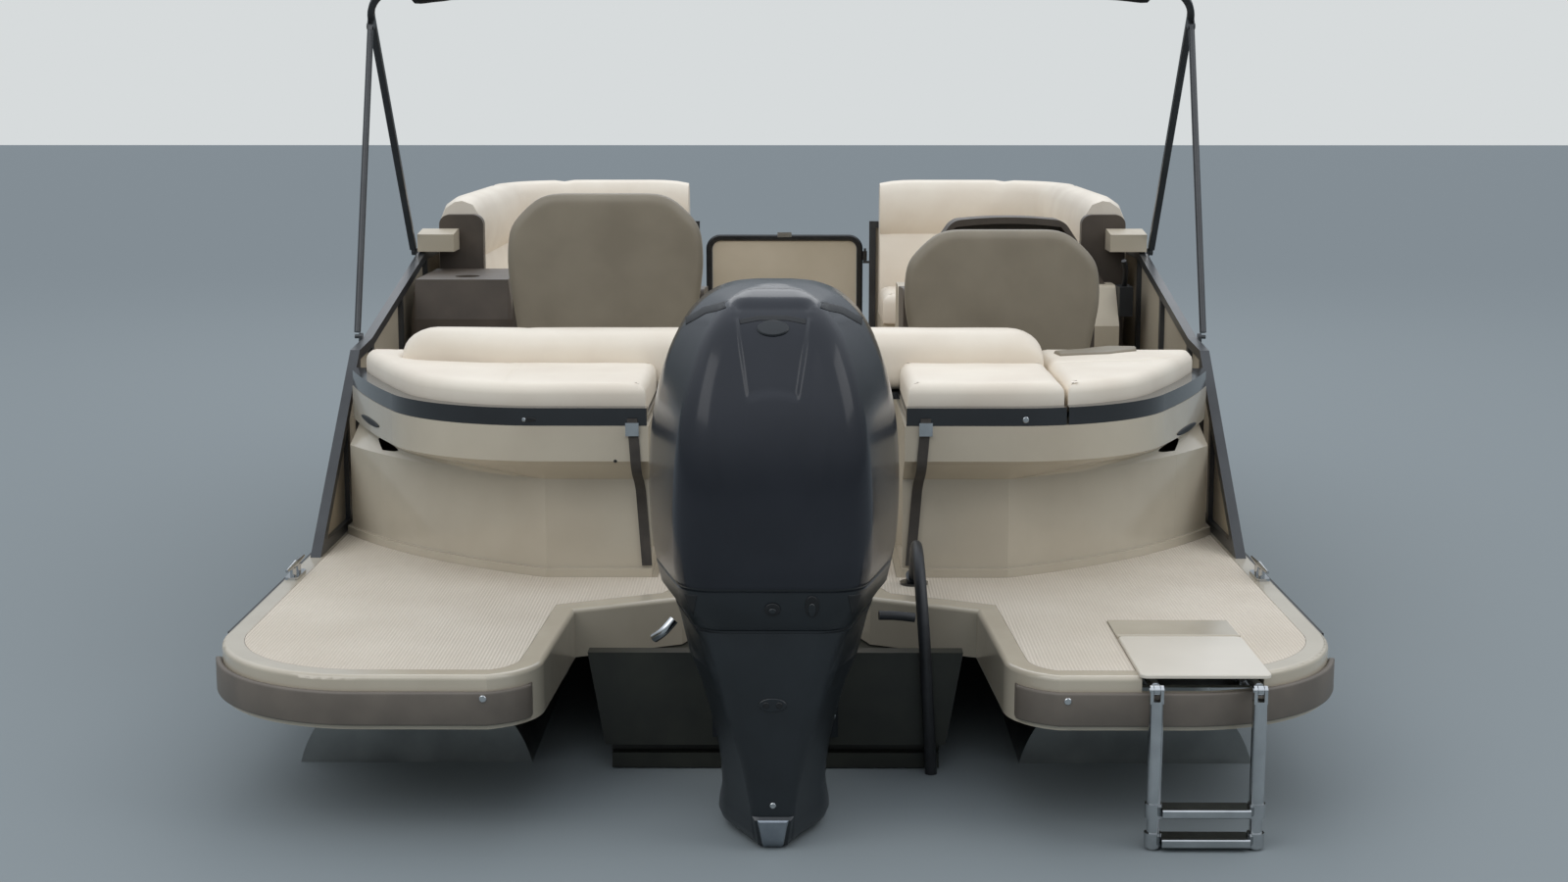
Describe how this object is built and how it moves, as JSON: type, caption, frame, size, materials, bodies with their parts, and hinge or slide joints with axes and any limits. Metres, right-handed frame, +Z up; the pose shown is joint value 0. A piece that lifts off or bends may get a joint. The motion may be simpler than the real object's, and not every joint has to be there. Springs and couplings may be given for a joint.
{
  "type": "pontoon deck boat",
  "caption": "Pontoon deck boat with stern platform, sun pad, fenced cockpit, folded bimini top, boarding ladder and tilting outboard motor.",
  "frame": {"origin": "on the centreline, at the waterline, in the plane of the motor transom's aft face", "axes": "+Y towards the bow, +X starboard, +Z up"},
  "size_m": [2.59, 5.7, 2.5474],
  "materials": {
    "hull_aluminium": "brushed, slightly dulled",
    "pod_paint": "satin dark olive-charcoal",
    "deck_sheet": "marine plywood under woven vinyl",
    "rail_paint": "satin charcoal powder coat",
    "rub_strip": "satin black",
    "gelcoat": "gloss beige gelcoat",
    "woven_mat": "ribbed woven vinyl",
    "bumper_grey": "matte taupe grey",
    "trim_black": "semi-gloss black",
    "cream_vinyl": "grained marine vinyl",
    "taupe_vinyl": "grained marine vinyl",
    "brown_plastic": "moulded dark brown",
    "panel_tan": "satin tan",
    "stainless": "polished stainless",
    "canvas_black": "woven acrylic canvas",
    "cowl_black": "high gloss black",
    "motor_paint": "satin blue-black",
    "hose_rubber": "ribbed black",
    "prop_steel": "polished",
    "webbing": "woven black webbing",
    "lens": "dark clear lens"
  },
  "bodies": {
    "hull": {"pontoon_port": "hull_aluminium", "pontoon_starboard": "hull_aluminium", "pontoon_center": "hull_aluminium", "motor_pod": "pod_paint", "crossmembers": "hull_aluminium", "deck": "deck_sheet", "deck_skirt": "rail_paint", "rub_rail": "rub_strip", "stern_platform": "gelcoat", "platform_mat": "woven_mat", "bumpers": "bumper_grey", "sunpad_cabinet": "gelcoat", "sunpad_corner_lid": "trim_black", "cushion_corner": "cream_vinyl", "fence_frame_port": "rail_paint", "fence_frame_starboard": "rail_paint", "fence_panels": "panel_tan", "hose": "hose_rubber", "hose_gland": "trim_black", "chair_pedestals": "stainless", "helm_console": "panel_tan", "dash_pod": "brown_plastic", "side_cabinet": "brown_plastic", "lounge_bases": "panel_tan", "lounge_seats": "cream_vinyl", "lounge_backs": "cream_vinyl", "lounge_arms": "brown_plastic", "rail_blocks": "panel_tan", "bimini_pivots": "rail_paint", "ladder_tray": "stainless", "hatch_hinge": "gelcoat", "cleats": "stainless", "straps": "webbing", "clamp_bracket": "motor_paint"},
    "lid_port": {"sunpad_lid_port": "trim_black", "cushion_port": "cream_vinyl", "bolster_port": "cream_vinyl"},
    "lid_starboard": {"sunpad_lid_starboard": "trim_black", "cushion_starboard": "cream_vinyl", "bolster_starboard": "cream_vinyl"},
    "gate": {"gate_frame": "trim_black", "gate_panel": "panel_tan"},
    "chair_port": {"chair_shell_port": "brown_plastic", "chair_cushions_port": "taupe_vinyl"},
    "chair_starboard": {"chair_shell_starboard": "brown_plastic", "chair_cushions_starboard": "taupe_vinyl"},
    "wheel": {"steering_wheel": "brown_plastic"},
    "bimini": {"bimini_bow": "rail_paint", "bimini_boot": "canvas_black"},
    "braces": {"bimini_braces": "rail_paint"},
    "ladder": {"ladder_upper": "stainless"},
    "ladder_second": {"ladder_middle": "stainless"},
    "ladder_third": {"ladder_lower": "stainless"},
    "hatch": {"hatch_lid": "gelcoat"},
    "motor_mount": {"swivel_bracket": "motor_paint"},
    "motor": {"motor_cowl": "cowl_black", "motor_pan": "motor_paint", "motor_leg": "motor_paint", "lower_unit": "motor_paint"},
    "prop": {"propeller": "prop_steel"}
  },
  "joints": [
    {"name": "sunpad_lid_port_hinge", "type": "hinge", "parent": "hull", "child": "lid_port", "pos_m": [0, 1.196, 0.79], "axis": [-1, 0, 0], "range_deg": [0, 65]},
    {"name": "sunpad_lid_starboard_hinge", "type": "hinge", "parent": "hull", "child": "lid_starboard", "pos_m": [0, 1.196, 0.79], "axis": [-1, 0, 0], "range_deg": [0, 65]},
    {"name": "bow_gate_hinge", "type": "hinge", "parent": "hull", "child": "gate", "pos_m": [0.345, 4.244, 0.6], "axis": [0, 0, 1], "range_deg": [0, 90]},
    {"name": "chair_port_swivel", "type": "hinge", "parent": "hull", "child": "chair_port", "pos_m": [-0.525, 1.725, 0.6], "axis": [0, 0, 1], "continuous": true},
    {"name": "chair_starboard_swivel", "type": "hinge", "parent": "hull", "child": "chair_starboard", "pos_m": [0.67, 1.725, 0.6], "axis": [0, 0, 1], "continuous": true},
    {"name": "bimini_swing", "type": "hinge", "parent": "hull", "child": "bimini", "pos_m": [0, 2.5, 1.07], "axis": [1, 0, 0], "range_deg": [0, 25]},
    {"name": "bimini_brace_swing", "type": "hinge", "parent": "bimini", "child": "braces", "pos_m": [0, 1.8452, 1.8197], "axis": [1, 0, 0], "range_deg": [0, 50]},
    {"name": "ladder_swing", "type": "hinge", "parent": "hull", "child": "ladder", "pos_m": [0.933, -0.54, 0.354], "axis": [-1, 0, 0], "range_deg": [0, 90]},
    {"name": "ladder_second_slide", "type": "slide", "parent": "ladder", "child": "ladder_second", "axis": [0, 0, -1], "range_m": [0, 0.2]},
    {"name": "ladder_third_slide", "type": "slide", "parent": "ladder_second", "child": "ladder_third", "axis": [0, 0, -1], "range_m": [0, 0.2]},
    {"name": "hatch_hinge_joint", "type": "hinge", "parent": "hull", "child": "hatch", "pos_m": [0.933, -0.172, 0.378], "axis": [-1, 0, 0], "range_deg": [0, 100]},
    {"name": "motor_tilt", "type": "hinge", "parent": "hull", "child": "motor_mount", "pos_m": [0, -0.01, 0.345], "axis": [-1, 0, 0], "range_deg": [0, 62]},
    {"name": "motor_steer", "type": "hinge", "parent": "motor_mount", "child": "motor", "pos_m": [0, -0.18, 0.3], "axis": [0, 0, 1], "range_deg": [-30, 30]},
    {"name": "steering_wheel_turn", "type": "hinge", "parent": "hull", "child": "wheel", "pos_m": [0.78, 2.228, 0.905], "axis": [0, -0.866, 0.5], "range_deg": [-600, 600]},
    {"name": "propeller_spin", "type": "hinge", "parent": "motor", "child": "prop", "pos_m": [0, -0.474, -0.262], "axis": [0, 1, 0], "continuous": true}
  ],
  "couplings": [
    {"joint": "steering_wheel_turn", "follows": "motor_steer", "ratio": 20},
    {"joint": "bimini_brace_swing", "follows": "bimini_swing", "ratio": 2}
  ]
}
